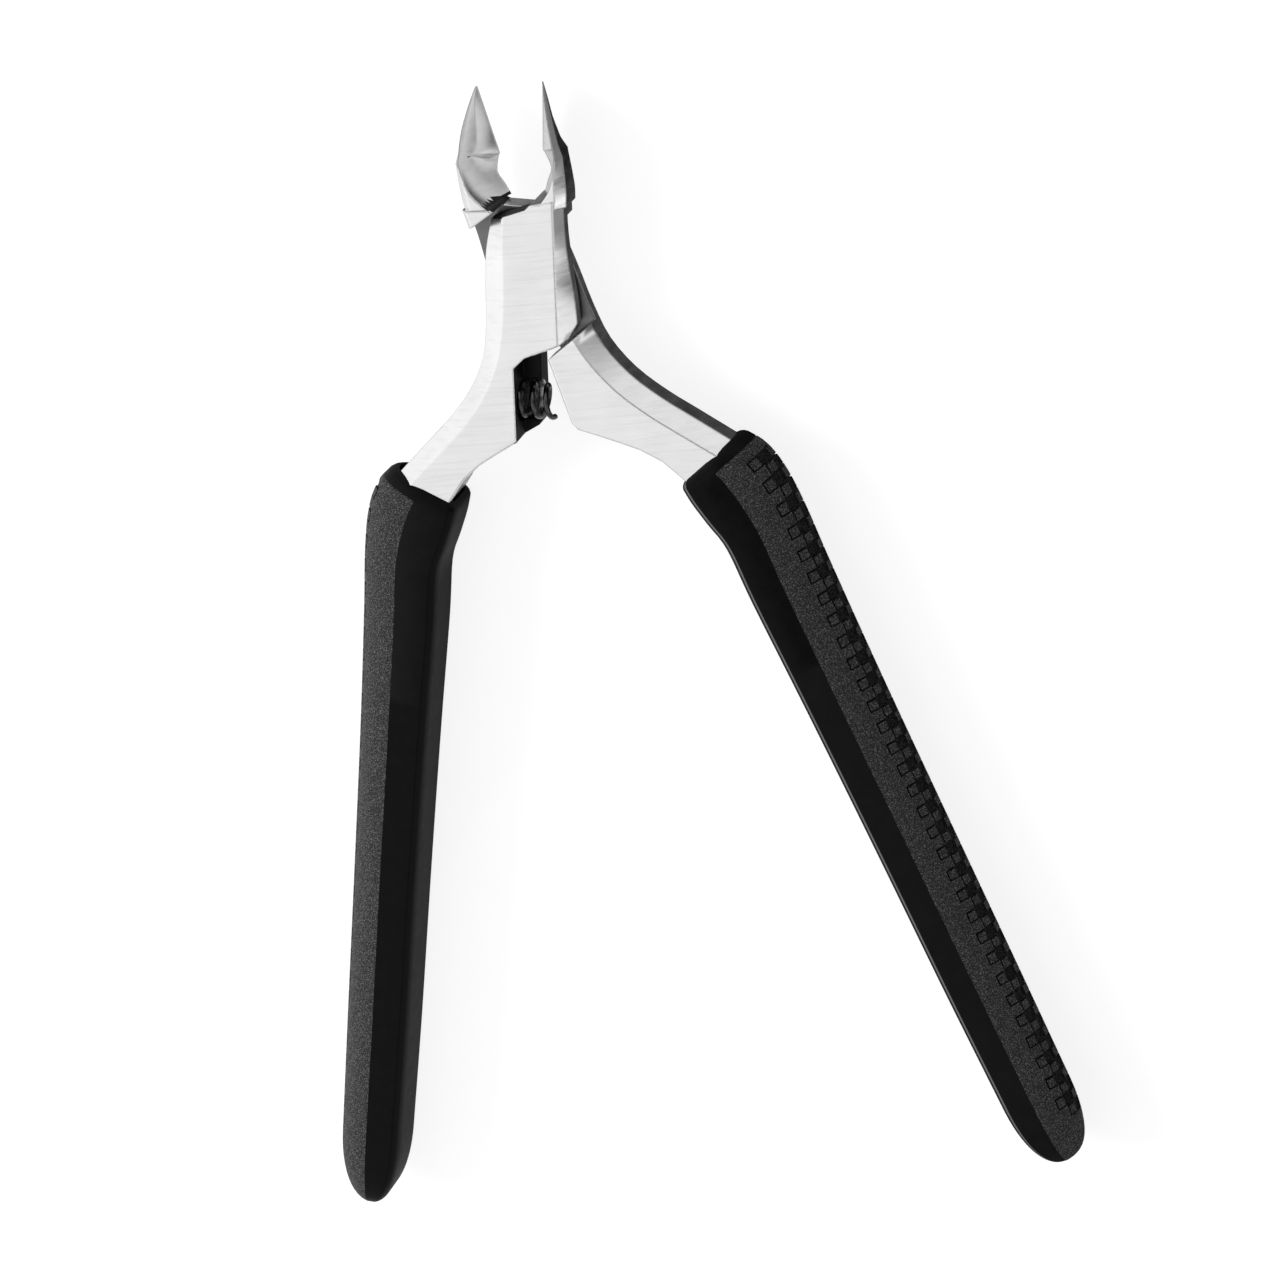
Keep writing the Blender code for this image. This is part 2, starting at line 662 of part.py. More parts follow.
def make_grip(name, side, frame, parts, cutters, smooth, grained):
    """A two-shot grip: a smooth shell moulded over the tang and a grained overlay round its outer side."""
    rows = grip_rows()
    start = between(rows[1], rows[2], OVERLAY_START)
    shell_rows = [(rows[0], 0), (rows[1], 0), (between(rows[1], rows[2], STEP_TOP), 0)]
    shell_rows += [(between(rows[1], rows[2], STEP_BOTTOM), 1)]
    shell_rows += [(row, 1) for row in rows[2:]]
    rings = [place_section(row, shell_section(row, step), side) for row, step in shell_rows]
    shell = loft(name + "_shell", rings, parts)
    hole = tang_outline(side, TANG_GAP)
    thick = TANG_HALF_THICKNESS + TANG_GAP
    cavity = prism(name + "_tang_cavity", hole, (-thick, thick), cutters)
    combine(shell, cavity, "DIFFERENCE")
    socket = rim_socket(name, side, cutters)
    combine(shell, socket, "DIFFERENCE")
    finish_object(shell, smooth, frame)
    overlay_rows = [start, *rows[2:]]
    rings = [place_section(row, overlay_section(row), side) for row in overlay_rows]
    overlay = loft(name + "_overlay", rings, parts)
    finish_object(overlay, grained, frame)
    cavity.parent = frame
    socket.parent = frame


def rim_socket(name, side, cutters):
    """The socket in the grip's rim that takes the end of the arm."""
    thick = FACE + TANG_GAP
    return prism(name + "_rim_socket", [(side * u, y) for u, y in RIM_SOCKET], (-thick, thick), cutters)


def make_frame(name, angle, collection):
    """An empty on the pivot axis that holds one lever and what is fixed to it, turned open."""
    frame = bpy.data.objects.new(name, None)
    frame.location = (0, PIVOT_Y * MM, GRIP_HALF_THICKNESS * MM)
    frame.rotation_euler.z = angle
    collection.objects.link(frame)
    return frame


def build():
    clear_scene()
    parts = make_collection("cuticle_nipper")
    cutters = make_collection("cutters")
    steel = make_material("brushed_steel", STEEL, 0.32, 1.0)
    dark = make_material("spring_steel", DARK_STEEL, 0.4, 1.0)
    smooth = make_material("smooth_grip", SMOOTH_BLACK, 0.45, 0.0)
    grained = make_material("grained_grip", GRAINED_BLACK, 0.7, 0.0)
    rear = make_frame("rear_lever_frame", HALF_OPENING, parts)
    front = make_frame("front_lever_frame", -HALF_OPENING, parts)
    make_lever("rear_lever", 1, rear, parts, cutters, steel)
    make_lever("front_lever", -1, front, parts, cutters, steel)
    make_screw(front, parts, cutters, steel)
    make_spring(front, parts, dark)
    make_grip("right_grip", 1, rear, parts, cutters, smooth, grained)
    make_grip("left_grip", -1, front, parts, cutters, smooth, grained)
    for helper in cutters.objects:
        hide_helper(helper)


build()
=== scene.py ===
import json
import math

import bmesh
import bpy
import numpy as np
from mathutils import Matrix, Vector

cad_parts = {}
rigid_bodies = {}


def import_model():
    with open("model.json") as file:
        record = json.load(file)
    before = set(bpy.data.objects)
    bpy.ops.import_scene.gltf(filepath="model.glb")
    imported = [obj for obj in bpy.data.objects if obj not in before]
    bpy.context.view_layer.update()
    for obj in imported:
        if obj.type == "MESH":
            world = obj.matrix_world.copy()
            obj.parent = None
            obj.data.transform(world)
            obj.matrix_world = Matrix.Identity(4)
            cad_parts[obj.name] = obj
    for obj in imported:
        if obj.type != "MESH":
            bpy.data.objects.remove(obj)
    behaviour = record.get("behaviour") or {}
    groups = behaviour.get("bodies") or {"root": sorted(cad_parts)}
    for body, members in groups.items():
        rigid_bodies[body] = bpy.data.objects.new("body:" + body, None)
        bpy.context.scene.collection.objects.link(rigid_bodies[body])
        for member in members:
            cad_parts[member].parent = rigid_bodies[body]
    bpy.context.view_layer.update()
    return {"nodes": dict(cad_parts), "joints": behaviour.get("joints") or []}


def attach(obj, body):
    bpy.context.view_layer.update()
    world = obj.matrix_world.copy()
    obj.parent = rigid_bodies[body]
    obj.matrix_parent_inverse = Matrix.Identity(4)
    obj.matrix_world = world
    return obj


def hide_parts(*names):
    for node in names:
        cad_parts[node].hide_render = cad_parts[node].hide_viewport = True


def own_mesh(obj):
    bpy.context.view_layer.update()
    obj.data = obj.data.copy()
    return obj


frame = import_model()
scene = bpy.context.scene

# Shapes are drawn in millimetres, and stage and camera are placed in metres
MM = 0.001
HINGE = frame["joints"][0]
PIVOT = Vector(HINGE["pos_m"])
# The front lever has the left arm, and the rear lever the right arm
LEFT, RIGHT = -1, 1
BODY_OF_SIDE = {LEFT: HINGE["parent"], RIGHT: HINGE["child"]}
# Each lever is drawn closed, in millimetres about the pivot, and turned open by this much
HALF_OPENING = math.radians(9.3)

# The view: turns about the tool's own axes, the camera's distance and where it aims
VIEW_YAW = math.radians(19.9)
VIEW_PITCH = math.radians(18.5)
VIEW_ROLL = math.radians(11.4)
VIEW_DISTANCE = 705 * MM
VIEW_RIGHT = 10.96 * MM
VIEW_UP = -36.11 * MM
LENS = 195.5
SENSOR_WIDTH = 36


# ---------------------------------------------------------------- shapes


def closed_to_world(points, side):
    """Places this side's points in the frame, from (outward, along, up) millimetres about the pivot."""
    points = np.asarray(points, float)
    x, y = side * points[..., 0], points[..., 1]
    c, s = math.cos(side * HALF_OPENING), math.sin(side * HALF_OPENING)
    turned = np.stack([c * x - s * y, s * x + c * y, points[..., 2]], axis=-1)
    return turned * MM + np.array(PIVOT)


def world_to_closed(point, side):
    """The inverse of closed_to_world for one point."""
    local = (Vector(point) - PIVOT) / MM
    c, s = math.cos(-side * HALF_OPENING), math.sin(-side * HALF_OPENING)
    return side * (c * local.x - s * local.y), s * local.x + c * local.y, local.z


def settle(piece, body, replaced):
    """Attaches a piece to the body that it rides on and hides the CAD node that it stands for."""
    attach(piece, body)
    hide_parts(replaced)


def new_piece(name, verts, faces, body, replaced):
    """A mesh piece with its faces pointing out."""
    mesh = bpy.data.meshes.new(name)
    mesh.from_pydata([tuple(v) for v in verts], [], faces)
    work = bmesh.new()
    work.from_mesh(mesh)
    bmesh.ops.recalc_face_normals(work, faces=work.faces)
    work.to_mesh(mesh)
    work.free()
    piece = bpy.data.objects.new(name, mesh)
    scene.collection.objects.link(piece)
    settle(piece, body, replaced)
    return piece


def smooth_by_angle(piece, degrees):
    piece.data.shade_smooth()
    piece.data.set_sharp_from_angle(angle=math.radians(degrees))


def loft(rings):
    """Vertices and faces of a closed solid through rings of equally many points."""
    rings = np.asarray(rings)
    rows, count = rings.shape[:2]
    grid = np.arange(rows * count).reshape(rows, count)
    after = np.roll(grid, -1, axis=1)
    quads = np.stack([grid[:-1], after[:-1], after[1:], grid[1:]], axis=-1).reshape(-1, 4)
    faces = [tuple(q) for q in quads.tolist()]
    return rings.reshape(-1, 3), faces + [tuple(grid[0].tolist()), tuple(grid[-1].tolist())]


# ---------------------------------------------------------------- materials

# Radius, in millimetres, to which the finishing has rounded the steel's edges
ROLLED_EDGE = 0.3
ROLLED_EDGE_SAMPLES = 6
# Noise is drawn out across the tool by these into brushing and into finer scratches
BRUSH_STRETCH = (0.06, 1, 0.3)
SCRATCH_STRETCH = (0.05, 1, 0.3)
BRUSH_DEPTH = 0.03 * MM
# The middle of the noise's range, where most of its values lie
NOISE_LOW, NOISE_HIGH = 0.3, 0.7


def new_material(name, roughness, metallic=0.0, color=(0.5, 0.5, 0.5)):
    material = bpy.data.materials.new(name)
    material.use_nodes = True
    shader = material.node_tree.nodes["Principled BSDF"]
    shader.inputs["Base Color"].default_value = (*color, 1)
    shader.inputs["Roughness"].default_value = roughness
    shader.inputs["Metallic"].default_value = metallic
    return material, material.node_tree, shader


def noise(tree, scale, detail=2.0, stretch=(1, 1, 1)):
    """Noise in the piece's own coordinates, with this many features to the metre."""
    coordinates = tree.nodes.new("ShaderNodeTexCoord")
    mapping = tree.nodes.new("ShaderNodeMapping")
    mapping.inputs["Scale"].default_value = stretch
    texture = tree.nodes.new("ShaderNodeTexNoise")
    texture.inputs["Scale"].default_value = scale
    texture.inputs["Detail"].default_value = detail
    tree.links.new(coordinates.outputs["Object"], mapping.inputs["Vector"])
    tree.links.new(mapping.outputs["Vector"], texture.inputs["Vector"])
    return texture.outputs["Fac"]


def remap(tree, value, low, high, to_low, to_high):
    node = tree.nodes.new("ShaderNodeMapRange")
    for key, number in (("From Min", low), ("From Max", high), ("To Min", to_low), ("To Max", to_high)):
        node.inputs[key].default_value = number
    tree.links.new(value, node.inputs["Value"])
    return node.outputs["Result"]


def grey_ramp(tree, value, stops):
    """A grey colour from a value, through (position, grey) stops."""
    ramp = tree.nodes.new("ShaderNodeValToRGB")
    elements = ramp.color_ramp.elements
    while len(elements) < len(stops):
        elements.new(0.5)
    for element, (position, grey) in zip(elements, stops):
        element.position = position
        element.color = (grey, grey, grey, 1)
    tree.links.new(value, ramp.inputs["Fac"])
    return ramp.outputs["Color"]


def multiply(tree, color, by):
    mix = tree.nodes.new("ShaderNodeMix")
    mix.data_type = "RGBA"
    mix.blend_type = "MULTIPLY"
    mix.inputs["Factor"].default_value = 1.0
    # The colour sockets share their names with the other data types', so they are taken by place
    tree.links.new(color, mix.inputs[6])
    tree.links.new(by, mix.inputs[7])
    return mix.outputs[2]


def bump(tree, shader, height, strength, distance, under=None):
    node = tree.nodes.new("ShaderNodeBump")
    node.inputs["Strength"].default_value = strength
    node.inputs["Distance"].default_value = distance
    tree.links.new(height, node.inputs["Height"])
    if under is not None:
        tree.links.new(under, node.inputs["Normal"])
    tree.links.new(node.outputs["Normal"], shader.inputs["Normal"])


def make_steel(name, grey, roughness, spread, brushing, metallic=1.0):
    """Steel brushed across the tool: clouds and scratches in its colour, streaks in roughness and bump."""
    material, tree, shader = new_material(name, roughness, metallic, (grey, grey, grey))
    shader.inputs["Specular IOR Level"].default_value = 0.5 if metallic else 0.15
    clouds = grey_ramp(tree, noise(tree, 260, 3), ((0.25, grey * 0.96), (0.75, grey * 1.03)))
    scratches = grey_ramp(tree, noise(tree, 2600, 4, SCRATCH_STRETCH), ((0.35, 0.95), (0.5, 1.0)))
    tree.links.new(multiply(tree, clouds, scratches), shader.inputs["Base Color"])
    streaks = noise(tree, 1400, 3, BRUSH_STRETCH)
    rough = remap(tree, streaks, NOISE_LOW, NOISE_HIGH, roughness - spread, roughness + spread)
    tree.links.new(rough, shader.inputs["Roughness"])
    rolled = tree.nodes.new("ShaderNodeBevel")
    rolled.samples = ROLLED_EDGE_SAMPLES
    rolled.inputs["Radius"].default_value = ROLLED_EDGE * MM
    bump(tree, shader, streaks, brushing, BRUSH_DEPTH, rolled.outputs["Normal"])
    return material


def make_smooth_black(name, roughness, specular, lightness=1.0):
    """Smooth black plastic with faint wear in its colour and roughness; lightness raises its colour, for the
    edge strip's painted glint.
    """
    material, tree, shader = new_material(name, roughness)
    shader.inputs["Specular IOR Level"].default_value = specular
    wear = noise(tree, 900, 4)
    shade = grey_ramp(tree, wear, ((0.3, 0.0028 * lightness), (0.8, 0.0048 * lightness)))
    tree.links.new(shade, shader.inputs["Base Color"])
    rough = remap(tree, wear, NOISE_LOW, NOISE_HIGH, roughness - 0.04, roughness + 0.05)
    tree.links.new(rough, shader.inputs["Roughness"])
    bump(tree, shader, noise(tree, 5000, 2), 0.15, 0.02 * MM)
    return material


def make_grained_black(name, share):
    """Grained rubber with pale specks; share darkens its colour and specular, as painted shade for the sunken
    parts of the pattern.
    """
    material, tree, shader = new_material(name, 0.62)
    shader.inputs["Specular IOR Level"].default_value = 0.25 * share
    stops = ((0.35, 0.006 * share), (0.52, 0.015 * share), (0.66, 0.1 * share))
    tree.links.new(grey_ramp(tree, noise(tree, 8000, 2), stops), shader.inputs["Base Color"])
    bump(tree, shader, noise(tree, 6500, 3), 0.6, 0.08 * MM)
    return material


STEEL = make_steel("satin_steel", 0.82, roughness=0.24, spread=0.05, brushing=0.3)
# The lap faces' dark grey is a painted reflection: it stands for the dark surroundings that these polished
# faces reflect
LAP_STEEL_PAINTED_DARK = make_steel("ground_lap_face_painted_dark", 0.2, roughness=0.4, spread=0.05, brushing=0.3)
# Near-black steel: painted shade in the crotch under the jaws, and dark scale with painted shade in the
# spring's pocket
SCALE_AND_SHADE_STEEL = make_steel("black_scale_and_painted_shade", 0.006, roughness=0.45, spread=0.05, brushing=0.3, metallic=0.0)
BEVEL_STEEL = make_steel("honed_cutting_bevel", 0.74, roughness=0.2, spread=0.03, brushing=0.15)
HOLLOW_STEEL = make_steel("ground_jaw_hollow", 0.8, roughness=0.2, spread=0.03, brushing=0.12)
SPRING_STEEL = make_steel("spring_wire", 0.09, roughness=0.13, spread=0.03, brushing=0.1)
SMOOTH = make_smooth_black("smooth_black_plastic", roughness=0.42, specular=0.06)
# A lighter, glossier black for the right grip's inner edge strip: its lighter colour is a painted glint
GLINT_PAINTED_EDGE = make_smooth_black("black_edge_painted_glint", roughness=0.22, specular=1.0, lightness=12.0)
GRAINED = make_grained_black("grained_black_rubber", 1.0)
# A darker rubber for the sunken cells of the pattern: painted shade
RECESS_PAINTED_SHADE = make_grained_black("sunken_black_rubber_painted_shade", 0.3)


def paint(obj, *materials):
    obj.data.materials.clear()
    for material in materials:
        obj.data.materials.append(material)


# ---------------------------------------------------------------- levers

# A lever's finishes, in the order of its material slots
SATIN, GROUND, BLACK_SCALE_AND_SHADE, HONED, HOLLOW = range(5)

EDGE_WIDTH = 0.05
SHARP_ANGLE = math.radians(24)
FLAT_ANGLE = math.radians(0.6)
MERGE_DISTANCE = 0.001 * MM

# How much of a face's normal lies along the thickness: more than FLAT on a flat face, less than WALL
# on a wall, and less than STEEP_WALL on a steep one
FLAT = 0.9
WALL = 0.7
STEEP_WALL = 0.5

LAP_HALF_GAP = 0.15
LAP_MARGIN = 0.05
# The spring pocket, in the closed drawing: outward limits, lengthwise limits
POCKET_BOX = {LEFT: (-3.0, 4.1, -30.0, -6.6), RIGHT: (-1.2, 0.85, -30.0, -6.6)}
# The pocket goes this far past the middle of the thickness. Beyond that, only the steep walls above
# the nose's foot are painted near-black, as dark scale with painted shade
POCKET_FLOOR = -0.45
NOSE_FOOT = -15.5
# Further out than this, the pocket is no higher than the spring's seat
SEAT_START = 1.8
SEAT_HALF_HEIGHT = 1.5
# Flat faces beyond this height are the lever's outer faces
FACE_LEVEL = 2.6
# The crotch under the jaws, painted near-black as shade: lengthwise limits and outward reach, wider on faces
# towards the tips
CROTCH_FOOT = 6.9
CROTCH_TOP = 10.6
CROTCH_REACH = 2.8
CROTCH_TOP_REACH = 3.5
CROTCH_MIDDLE = 0.3
FACES_TIP = 0.35

JAW_FOOT = 9.6
FACES_OTHER_JAW = 0.2
HEEL_Y = 13.4
HEEL_SLANT = 1.0
# Down a jaw: y, height of the cutting edge, height of the rim, and the bevel's share of the way between
BEVEL_TABLE = np.array(
    (
        (9.1, -2.80, 2.70, 0.50),
        (13.4, -2.75, 2.52, 0.50),
        (15.5, -2.70, 2.10, 0.40),
        (17.5, -2.65, 1.20, 0.36),
        (19.3, -2.60, -0.40, 0.45),
        (20.8, -2.55, -2.20, 0.60),
    )
)
# The bevel's faces end a little before its share. They lie this near the centre line at the edge,
# and further out by the flare at the rim
BEVEL_COVER = 0.98
BEVEL_NEAR = 0.1
BEVEL_FLARE = 2.2


def on_cutting_bevel(centre):
    """Whether this place on a jaw is on the flat bevel behind its cutting edge."""
    u, y, z = centre
    edge_z, rim_z, share = (np.interp(y, BEVEL_TABLE[:, 0], BEVEL_TABLE[:, k]) for k in (1, 2, 3))
    part = (z - edge_z) / (rim_z - edge_z)
    above_heel = y > HEEL_Y + HEEL_SLANT * part / share
    return above_heel and part < share * BEVEL_COVER and -u < BEVEL_NEAR + BEVEL_FLARE * part


def faces_other_jaw(normal, side):
    """Whether a normal on a jaw points at the other jaw. Each jaw is across the centre line from its arm."""
    inward = side * (normal.x * math.cos(HALF_OPENING) + side * normal.y * math.sin(HALF_OPENING))
    return inward > FACES_OTHER_JAW


def in_shaded_crotch(centre, normal, side):
    """Whether this face is one of the walls under the jaws, which are painted near-black as shade."""
    u, y, z = centre
    to_tip = -normal.x * side * math.sin(HALF_OPENING) + normal.y * math.cos(HALF_OPENING)
    reach = CROTCH_TOP_REACH if to_tip > FACES_TIP else CROTCH_REACH
    inside = CROTCH_FOOT < y < CROTCH_TOP and -reach < side * u < CROTCH_MIDDLE
    return inside and abs(normal.z) < WALL


def in_pocket(centre, normal, side):
    """Whether this face is inside the spring's pocket or seat, painted near-black as dark scale with painted
    shade.
    """
    u, y, z = centre
    low_u, high_u, low_y, high_y = POCKET_BOX[side]
    if not (low_u < u < high_u and low_y < y < high_y):
        return False
    if u > SEAT_START and abs(z) >= SEAT_HALF_HEIGHT:
        return False
    if abs(normal.z) > FLAT and abs(z) > FACE_LEVEL:
        return False
    return -side * z > POCKET_FLOOR or (abs(normal.z) < STEEP_WALL and y > NOSE_FOOT)


def finish_of(centre, normal, side):
    """The finish of a face of the lever, by where it lies."""
    if centre[1] > JAW_FOOT and faces_other_jaw(normal, side):
        return HONED if on_cutting_bevel(centre) else HOLLOW
    # Crotch and pocket faces get the near-black steel: painted shade, with scale in the pocket
    if in_shaded_crotch(centre, normal, side) or in_pocket(centre, normal, side):
        return BLACK_SCALE_AND_SHADE
    if abs(abs(centre[2]) - LAP_HALF_GAP) < LAP_MARGIN and abs(normal.z) > FLAT:
        return GROUND
    return SATIN


def is_sharp(edge):
    """Edges that stay crisp: those between faces at an angle, and the outline of a jaw's cutting bevel."""
    if len(edge.link_faces) != 2:
        return False
    finishes = {face.material_index for face in edge.link_faces}
    return edge.calc_face_angle() > SHARP_ANGLE or finishes == {HONED, HOLLOW}


def make_lever(name, side):
    """The lever's own solid with rounded edges and the finish of each of its faces."""
    mesh = frame["nodes"][name].data.copy()
    lever = bpy.data.objects.new(name + "_steel", mesh)
    paint(lever, STEEL, LAP_STEEL_PAINTED_DARK, SCALE_AND_SHADE_STEEL, BEVEL_STEEL, HOLLOW_STEEL)
    work = bmesh.new()
    work.from_mesh(mesh)
    bmesh.ops.remove_doubles(work, verts=work.verts, dist=MERGE_DISTANCE)
    bmesh.ops.dissolve_limit(
        work, angle_limit=FLAT_ANGLE, use_dissolve_boundaries=False, verts=work.verts, edges=work.edges
    )
    for face in work.faces:
        centre = world_to_closed(face.calc_center_median(), side)
        face.material_index = finish_of(centre, face.normal, side)
        face.smooth = True
    for edge in work.edges:
        edge.smooth = not is_sharp(edge)
    work.to_mesh(mesh)
    work.free()
    scene.collection.objects.link(lever)
    edges = lever.modifiers.new("rounded_edges", "BEVEL")
    edges.width = EDGE_WIDTH * MM
    edges.segments = 2
    edges.limit_method = "ANGLE"
    edges.angle_limit = SHARP_ANGLE
    edges.use_clamp_overlap = False
    edges.harden_normals = True
    settle(lever, BODY_OF_SIDE[side], name)


# ---------------------------------------------------------------- grips

# Stations down the grip, closed: inner u, inner y, outer u, outer y, half thickness
GRIP_STATIONS = np.array(
    (
        (8.3, -23.5, 15.7, -20.1, 3.35),
        (8.8, -25.6, 17.6, -22.2, 3.5),
        (9.7, -28.2, 18.7, -25.2, 3.6),
        (10.7, -31.2, 19.3, -29.6, 3.6),
        (11.3, -37.5, 19.75, -36.5, 3.6),
        (12.8, -50.0, 20.75, -49.2, 3.6),
        (14.6, -66.0, 22.2, -65.2, 3.6),
        (16.4, -83.0, 23.8, -82.3, 3.55),
        (17.9, -96.0, 25.0, -95.5, 3.5),
    )
)
HALF_THICKNESS = 3.6
STATION_STEPS = 24
END_LENGTH = 8.7
END_ROUNDNESS = 2.3
END_THICKNESS = 0.25
# The end closes just before its full length, so that its last ring keeps a width
END_CLOSE = 0.998

# The ridge, where the skin meets the flats, and the rounded outer side beyond it
RIDGE_SHARE = 0.5
RIDGE_LEAD = 1.6
# The lead shrinks with the grip where its half width is under this
FULL_LEAD_WIDTH = 4
SKIN = 0.8
SEAM = 0.02
# Down from the rim, the shell's collar: distance and how far its surface sits in
COLLAR = 1.3
COLLAR_ROUND = ((0.0, 0.62), (0.08, 0.35), (0.28, 0.12), (0.6, 0.0), (COLLAR, 0.0))
# Under the skin, the shell sits in by this much
SHELL_UNDER = 0.4
# The socket for the arm's end: distance and share of the width, with a slightly smaller share of thickness
SOCKET = ((2.5, 0.80), (0.3, 0.80), (0.0, 0.86))
SOCKET_THICKNESS = 0.98

# The inner side's chamfer, and where it bends down, in shares of the chamfer
INNER_CHAMFER = 0.75
INNER_ROUND = 1.4
CHAMFER_BEND_IN = 0.2
CHAMFER_BEND_DOWN = 0.8
BEND_ROUND = 0.2
FLAT_EDGE_ROUND = 0.12
CHAMFER_SLOPE = 0.7
ARC_POINTS = 25
# Points of the shell's section that round the front flat's inner edge; on the right grip only, they get a
# lighter, glossier black, a painted glint
GLINT_PAINTED_COLUMNS = {1, 2, 3, 4}

# The pattern of small squares: cell size, the pad's and its wall's share of a cell, and depth
CELL = 1.23
PAD_SHARE = 0.80
WALL_SHARE = 0.05
PATTERN_DEPTH = 0.2
PATTERN_COLUMNS = 4
# Its distance from the nearer ridge, from the rim and from the end
PATTERN_BAND = 2.5
PATTERN_START = 2.6
PATTERN_END = 4.0
# Where down the grip the cells round the outer side are laid out
PATTERN_MIDDLE = 40.0
PLAIN_POINTS = 9
# The skin's edge at the collar: distances past the collar, and how far its first ring sits in
SKIN_EDGE = (0.02, 0.2, 0.7)
SKIN_EDGE_INSET = 0.12
# Rings that close the end, for the shell and for the skin
SHELL_END_RINGS = 18
SKIN_END_RINGS = 10
# Added to a place before its cell is found, so that rounding can't put it in the cell before
TINY = 1e-6


def catmull_rom(rows, steps):
    """A smooth curve through the rows, with this many steps between each two."""
    rows = np.concatenate([rows[:1], rows, rows[-1:]])
    out = []
    for p, q, r, s in zip(rows, rows[1:], rows[2:], rows[3:]):
        for t in np.arange(steps) / steps:
            bend = (r - p) * t + (2 * p - 5 * q + 4 * r - s) * t**2 + (3 * q - p - 3 * r + s) * t**3
            out.append(q + 0.5 * bend)
    out.append(rows[-1])
    return np.array(out)


class Grip:
    """The grip's rails as a function of the distance down its middle from the rim, in millimetres."""

    def __init__(self):
        self.rows = catmull_rom(GRIP_STATIONS, STATION_STEPS)
        self.rows[:, 4] = np.minimum(self.rows[:, 4], HALF_THICKNESS)
        middle = (self.rows[:, 0:2] + self.rows[:, 2:4]) / 2
        steps = np.linalg.norm(np.diff(middle, axis=0), axis=1)
        self.distance = np.concatenate([[0], np.cumsum(steps)])
        self.straight = self.distance[-1]
        self.length = self.straight + END_LENGTH
        last_stretch = middle[-1] - middle[-STATION_STEPS]
        self.axis = last_stretch / np.linalg.norm(last_stretch)

    def at(self, distance):
        """(middle point, direction across, half width, half thickness, size) there."""
        held = min(max(distance, 0.0), self.straight)
        row = np.array([np.interp(held, self.distance, column) for column in self.rows.T])
        inner, outer = row[0:2], row[2:4]
        middle = (inner + outer) / 2
        width = np.linalg.norm(outer - inner)
        across = (outer - inner) / width
        share = min(max((distance - self.straight) / END_LENGTH, 0.0), END_CLOSE)
        size = (1 - share**END_ROUNDNESS) ** (1 / END_ROUNDNESS)
        thick = row[4] * (END_THICKNESS + (1 - END_THICKNESS) * size)
        return middle + self.axis * share * END_LENGTH, across, width / 2 * size, thick, size


GRIP = Grip()


def ridge_of(half):
    """The ridge's place across the grip, from its middle."""
    return half * (2 * RIDGE_SHARE - 1)


def outer_ellipse(half, thick):
    """Centre, reach, rise and start angle of the rounded outer side, which meets the flats at the ridge."""
    ridge = ridge_of(half)
    centre = ridge - RIDGE_LEAD * min(1.0, half / FULL_LEAD_WIDTH)
    reach = half - centre
    start = math.acos((ridge - centre) / reach)
    return centre, reach, thick / math.sin(start), start


def set_section(middle, across, section, side):
    """A section of (across, up) points, set in the grip at its middle point."""
    section = np.asarray(section)
    plane = middle + section[:, :1] * across
    return closed_to_world(np.column_stack([plane, section[:, 1]]), side)


def rounded_corner(corner, start, end, count):
    """Points of a curve that rounds a corner between two points near it."""
    t = np.linspace(0, 1, count)[:, None]
    a, b, c = (np.array(p) for p in (start, corner, end))
    return ((1 - t) ** 2 * a + 2 * t * (1 - t) * b + t**2 * c).tolist()


def shell_section(half, thick, size, under):
    """The shell's section, counter-clockwise from the front ridge; under is how far its outer side sits in."""
    ridge = ridge_of(half)
    chamfer, side_round = INNER_CHAMFER * size, INNER_ROUND * size
    edge = -half + chamfer
    edge_round = FLAT_EDGE_ROUND * size
    on_chamfer = (edge - edge_round * CHAMFER_SLOPE, thick - edge_round * CHAMFER_SLOPE)
    bend = (-half + CHAMFER_BEND_IN * chamfer, thick - CHAMFER_BEND_DOWN * chamfer)
    above_bend = (bend[0] + BEND_ROUND * size, bend[1] + BEND_ROUND * size)
    top = [(ridge, thick)]
    top += rounded_corner((edge, thick), (edge + edge_round, thick), on_chamfer, 4)
    top += rounded_corner(bend, above_bend, (-half, thick - side_round), 5)
    bottom = [(a, -z) for a, z in top[::-1]]
    centre, reach, rise, start = outer_ellipse(half, thick)
    inset = under * size
    arc = []
    for angle in np.linspace(-start, start, ARC_POINTS):
        a = centre + (reach - inset) * math.cos(angle)
        arc.append((max(a, ridge), (rise - inset) * math.sin(angle)))
    return top + bottom + arc[1:-1]


